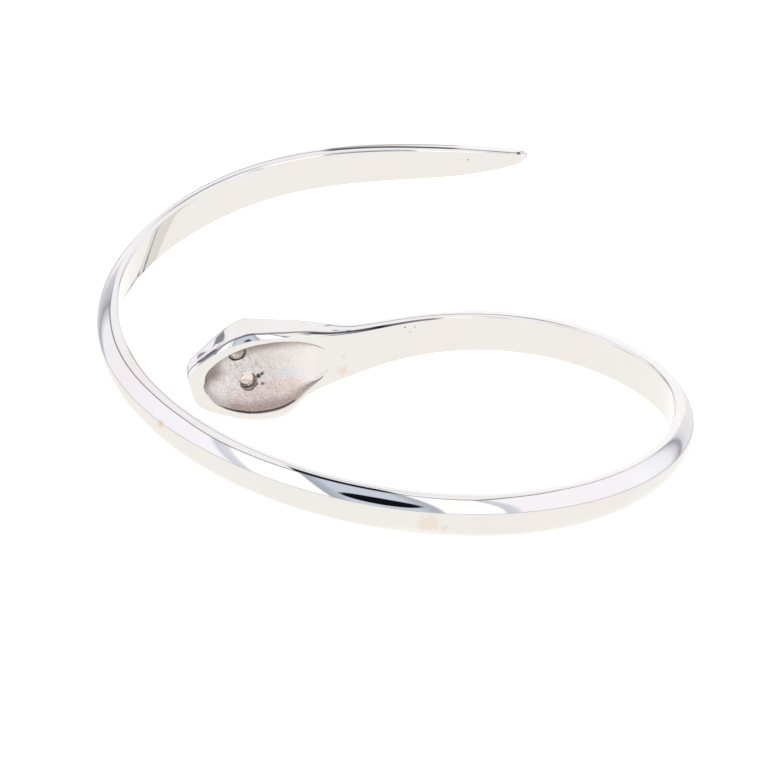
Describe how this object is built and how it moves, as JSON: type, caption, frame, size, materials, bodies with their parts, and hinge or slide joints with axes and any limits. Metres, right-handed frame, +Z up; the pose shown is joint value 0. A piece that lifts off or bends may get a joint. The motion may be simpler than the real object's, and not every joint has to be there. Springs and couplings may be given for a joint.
{
  "type": "snake bangle",
  "caption": "Open wrap bangle in polished silver: a domed strip that coils round the wrist from a hollow-backed snake's head with round stone eyes to a tapered tail.",
  "frame": {"origin": "on the floor, under the middle of the box round the bangle as it lies by itself", "axes": "+Z up; +Y towards the back, where the head and the tail lie; +X to the right as the picture sees it; the ring's own axis leans about 18 degrees from +Z, towards the front"},
  "size_m": [0.065, 0.0699, 0.0341],
  "materials": {
    "silver": "polished silver, brushed in the hollow of the head",
    "eye_stone": "clear pale brown cut stone"
  },
  "bodies": {
    "root": {"snake_bangle": "silver", "eye_stone_upper": "eye_stone", "eye_stone_lower": "eye_stone"}
  },
  "joints": []
}
